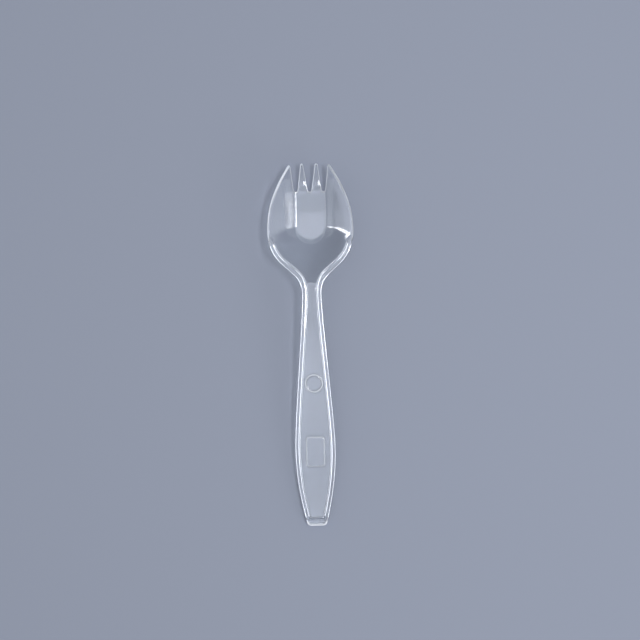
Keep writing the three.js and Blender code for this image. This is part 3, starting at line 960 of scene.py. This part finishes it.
def clear_plastic():
    """Bends light, scatters white where a highlight is painted on its edges and marks, and lets a plain
    share of it through in shadows
    """
    material = bpy.data.materials.new("clear_plastic")
    material.use_nodes = True
    tree = material.node_tree
    plastic = rippled_plastic(tree)
    # white scattering, painted on the edges and marks as a highlight
    scatter = add_node(tree, "ShaderNodeBsdfDiffuse", {"Color": PAINTED_HIGHLIGHT_WHITE})
    surface = mix_shaders(tree, corner_value(tree, "painted_highlight"), plastic, scatter.outputs["BSDF"])
    through = add_node(tree, "ShaderNodeBsdfTransparent", {"Color": table_shade(tree)})
    path = tree.nodes.new("ShaderNodeLightPath")
    whole = mix_shaders(tree, path.outputs["Is Shadow Ray"], surface, through.outputs["BSDF"])
    tree.links.new(whole, tree.nodes["Material Output"].inputs["Surface"])
    return material


def table():
    """A plain matt face that reaches well past the picture"""
    half = 1.5
    mesh = bpy.data.meshes.new("table")
    corners = [(-half, -half, 0), (half, -half, 0), (half, half, 0), (-half, half, 0)]
    mesh.from_pydata(corners, [], [(0, 1, 2, 3)])
    floor = bpy.data.objects.new("table", mesh)
    floor.location.z = -TABLE_GAP * MM
    bpy.context.scene.collection.objects.link(floor)
    material = bpy.data.materials.new("table")
    material.use_nodes = True
    paint = material.node_tree.nodes["Principled BSDF"]
    paint.inputs["Base Color"].default_value = TABLE_COLOUR
    paint.inputs["Roughness"].default_value = 0.9
    paint.inputs["Specular IOR Level"].default_value = 0.1
    floor.data.materials.append(material)


def area_light(name, place, size, power):
    """A lamp with its breadth and height, turned towards the bowl"""
    bowl = Vector((0, 0.03, 0.005))
    lamp = bpy.data.lights.new(name, "AREA")
    lamp.shape = "RECTANGLE"
    lamp.size, lamp.size_y = size
    lamp.energy = power
    holder = bpy.data.objects.new(name, lamp)
    holder.location = place
    holder.rotation_euler = (bowl - Vector(place)).to_track_quat("-Z", "Y").to_euler()
    bpy.context.scene.collection.objects.link(holder)


def combine(tree, operation, first, second):
    """One number worked out from two"""
    node = tree.nodes.new("ShaderNodeMath")
    node.operation = operation
    for socket, value in zip(node.inputs, (first, second)):
        feed(tree, socket, value)
    return node.outputs["Value"]


def slope(tree, value, span, low, high):
    """Goes smoothly from low to high while the value crosses the span"""
    start, end = span
    inputs = {"Value": value, "From Min": start, "From Max": end, "To Min": low, "To Max": high}
    node = add_node(tree, "ShaderNodeMapRange", inputs)
    node.interpolation_type = "SMOOTHSTEP"
    return node.outputs["Result"]


def split(tree, vector):
    """The X, Y and Z of a vector"""
    return add_node(tree, "ShaderNodeSeparateXYZ", {"Vector": vector}).outputs


def heading_of(tree, direction):
    """The direction as seen on a compass, with its height left out"""
    level = tree.nodes.new("ShaderNodeVectorMath")
    level.operation = "MULTIPLY"
    feed(tree, level.inputs[0], direction)
    feed(tree, level.inputs[1], (1, 1, 0))
    heading = tree.nodes.new("ShaderNodeVectorMath")
    heading.operation = "NORMALIZE"
    feed(tree, heading.inputs[0], level.outputs["Vector"])
    return heading.outputs["Vector"]


def mirrored_room(tree):
    """Brightness of the room in each direction, as gloss shows it"""
    direction = tree.nodes.new("ShaderNodeTexCoord").outputs["Generated"]
    towards = split(tree, direction)
    heading = split(tree, heading_of(tree, direction))
    overhead = slope(tree, towards["Z"], CEILING_EDGE, 0, 1)
    ceiling = slope(tree, towards["Y"], CEILING_TURN, NEAR_CEILING, FAR_CEILING)
    sides = slope(tree, heading["X"], (-1, 1), LEFT_SIDE, RIGHT_SIDE)
    bright = mix(tree, "FLOAT", overhead, sides, ceiling)
    far_side = slope(tree, heading["Y"], DARK_SIDE_EDGE, 0, 1)
    low_down = slope(tree, towards["Z"], CEILING_EDGE, 1, 0)
    dark = combine(tree, "MULTIPLY", combine(tree, "MULTIPLY", far_side, low_down), DARK_SIDE)
    beam_begins = slope(tree, towards["Y"], BEAM_NEAR_EDGE, 0, 1)
    beam_ends = slope(tree, towards["Y"], BEAM_FAR_EDGE, 1, 0)
    beam = combine(tree, "MULTIPLY", combine(tree, "MULTIPLY", beam_begins, beam_ends), BEAM)
    lit = combine(tree, "SUBTRACT", 1, combine(tree, "MAXIMUM", dark, beam))
    near_side = slope(tree, towards["Y"], NEAR_SIDE_EDGE, NEAR_SIDE, 1)
    return combine(tree, "MULTIPLY", combine(tree, "MULTIPLY", bright, lit), near_side)


def room_light():
    """Plain light from all round, and the ceiling and sides of the room where gloss shows them

    Past the table's face the light is plain again, so that the room's pattern stays in the plastic.
    """
    world = bpy.data.worlds.new("room")
    bpy.context.scene.world = world
    world.use_nodes = True
    tree = world.node_tree
    path = tree.nodes.new("ShaderNodeLightPath").outputs
    shiny = combine(tree, "MAXIMUM", path["Is Glossy Ray"], path["Is Transmission Ray"])
    half_a_bounce = 0.5
    before_table = combine(tree, "LESS_THAN", path["Diffuse Depth"], half_a_bounce)
    mirrored = combine(tree, "MULTIPLY", shiny, before_table)
    background = tree.nodes["Background"]
    tint = mix(tree, "RGBA", mirrored, PLAIN_LIGHT, MIRRORED_LIGHT)
    strength = mix(tree, "FLOAT", mirrored, ROOM_LIGHT, mirrored_room(tree))
    feed(tree, background.inputs["Color"], tint)
    feed(tree, background.inputs["Strength"], strength)


def camera():
    """Looks straight down, turned a little so that the tines lean left"""
    sensor_width = 36
    frame_width = 0.264
    distance = 0.34
    level = 0.005  # the frame has its width at this height above the table
    right_shift = 0.00286
    up_shift = 0.0106
    lean = math.radians(1.35)
    view = bpy.data.cameras.new("camera")
    view.sensor_width = sensor_width
    view.lens = sensor_width * distance / frame_width
    holder = bpy.data.objects.new("camera", view)
    right = Vector((math.cos(lean), -math.sin(lean)))
    up = Vector((math.sin(lean), math.cos(lean)))
    centre = right * right_shift + up * up_shift
    holder.location = (centre.x, centre.y, distance + level)
    holder.rotation_euler = (0, 0, -lean)
    bpy.context.scene.collection.objects.link(holder)
    bpy.context.scene.camera = holder


camera()
make_spork(clear_plastic())
table()
room_light()
area_light("key", place=(0.285, 0.015, 0.75), size=(0.34, 0.13), power=2.3)
area_light("low_window", place=(-0.79, 0.22, 0.2), size=(0.025, 0.34), power=0.3)
area_light("side_window", place=(0.6, -0.6, 0.25), size=(0.4, 0.2), power=1.2)
bpy.context.scene.view_settings.view_transform = "Standard"
